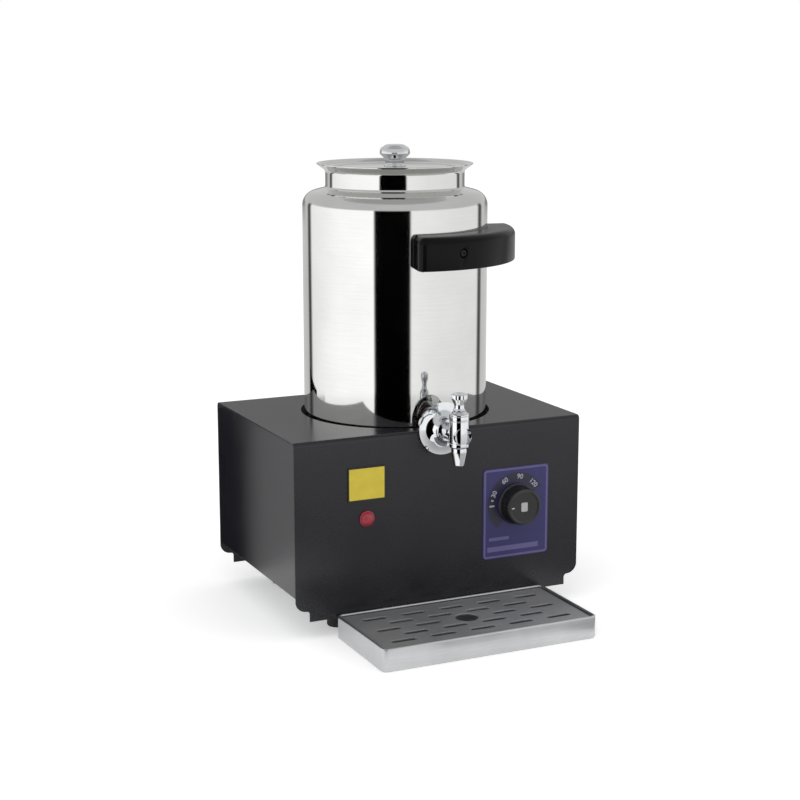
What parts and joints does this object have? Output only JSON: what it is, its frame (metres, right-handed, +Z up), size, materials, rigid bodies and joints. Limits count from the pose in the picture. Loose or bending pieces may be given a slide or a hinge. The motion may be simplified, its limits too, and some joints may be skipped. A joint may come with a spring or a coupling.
{
  "type": "electric coffee dispenser",
  "caption": "Electric coffee dispenser: a steel urn with a tap and side grip stands in a heated water bath in a black casing with a dial, a pilot lamp and a loose drip tray.",
  "frame": {"origin": "on the floor, under the middle of the whole outline with the tray pushed in", "axes": "+Z up; -Y is the front, where the tap, the dial and the tray are; +X is to the right seen from the front"},
  "size_m": [0.3, 0.3334, 0.4495],
  "materials": {
    "black_enamel": "black stove enamel on sheet steel, satin",
    "zinc_sheet": "zinc-plated sheet, dull",
    "foot_rubber": "moulded rubber, matte",
    "plated_screw": "zinc-plated screw steel",
    "bath_steel": "stainless sheet, drawn",
    "element_steel": "heat-darkened tube",
    "fitting_brass": "turned brass",
    "element_seal": "fibre seal, matte",
    "thermostat_case": "moulded thermoset, cream",
    "copper_tube": "drawn copper, dull",
    "clip_steel": "spring steel",
    "dial_blue": "printed plate, dark blue, satin",
    "label_yellow": "printed plate, yellow, satin",
    "lens_red": "red moulded lens",
    "bakelite": "black bakelite, satin gloss",
    "lamp_plastic": "moulded plastic, black",
    "block_plastic": "moulded plastic, cream",
    "lead_red": "insulated lead, red",
    "lead_blue": "insulated lead, blue",
    "lead_brown": "insulated lead, brown",
    "urn_steel": "stainless sheet, mirror polished",
    "tap_chrome": "chrome plate, polished",
    "tap_gasket": "red fibre gasket",
    "tray_steel": "stainless sheet, fine brushed",
    "grille_steel": "stainless sheet, dull"
  },
  "bodies": {
    "base": {"casing_wrap": "black_enamel", "side_panel_left": "black_enamel", "side_panel_right": "black_enamel", "base_plate": "zinc_sheet", "feet": "foot_rubber", "foot_screws": "plated_screw", "base_screws": "plated_screw", "panel_screws": "plated_screw", "water_bath": "bath_steel", "bath_studs": "plated_screw", "bath_nuts": "plated_screw", "heating_element": "element_steel", "element_bushes": "fitting_brass", "element_seals": "element_seal", "element_nuts": "fitting_brass", "thermostat_body": "thermostat_case", "thermostat_screws": "plated_screw", "sensor_bulb": "copper_tube", "bulb_clip": "clip_steel", "capillary_tube": "copper_tube", "dial_plate": "dial_blue", "label_plate": "label_yellow", "pilot_lamp_lens": "lens_red", "pilot_lamp_body": "lamp_plastic", "pilot_lamp_nut": "lamp_plastic", "terminal_block": "block_plastic", "terminal_screws": "fitting_brass", "element_leads": "lead_red", "lamp_leads": "lead_blue", "supply_lead": "lead_brown", "cable_gland": "lamp_plastic", "gland_nut": "lamp_plastic"},
    "dial_knob": {"thermostat_shaft": "plated_screw", "thermostat_knob": "bakelite"},
    "urn": {"urn_body": "urn_steel", "side_grip": "bakelite", "grip_posts": "plated_screw", "grip_screws": "plated_screw", "tap_body": "tap_chrome", "tap_rosette": "tap_chrome", "tap_outer_gasket": "tap_gasket", "tap_inner_gasket": "tap_gasket", "tap_lock_nut": "fitting_brass", "tap_nozzle": "tap_chrome", "tap_bonnet": "tap_chrome"},
    "lid": {"urn_lid": "urn_steel", "lid_knob": "tap_chrome", "lid_knob_screw": "plated_screw"},
    "tap_valve": {"tap_plug": "fitting_brass", "tap_handle": "tap_chrome", "tap_handle_screw": "plated_screw"},
    "tray": {"tray_pan": "tray_steel"},
    "grille": {"drip_grille": "grille_steel"}
  },
  "joints": [
    {"name": "thermostat_turn", "type": "hinge", "parent": "base", "child": "dial_knob", "pos_m": [0.08, -0.06025, 0.108], "axis": [0, 1, 0], "range_deg": [0, 137]},
    {"name": "urn_lift", "type": "slide", "parent": "base", "child": "urn", "axis": [0, 0, 1], "range_m": [0, 0.08]},
    {"name": "lid_lift", "type": "slide", "parent": "urn", "child": "lid", "axis": [0, 0, 1], "range_m": [0, 0.12]},
    {"name": "tap_turn", "type": "hinge", "parent": "urn", "child": "tap_valve", "pos_m": [0, -0.09525, 0.19], "axis": [0, 0, 1], "range_deg": [0, 90]},
    {"name": "tray_slide", "type": "slide", "parent": "base", "child": "tray", "axis": [0, -1, 0], "range_m": [0, 0.12]},
    {"name": "grille_lift", "type": "slide", "parent": "tray", "child": "grille", "axis": [0, 0, 1], "range_m": [0, 0.05]}
  ]
}
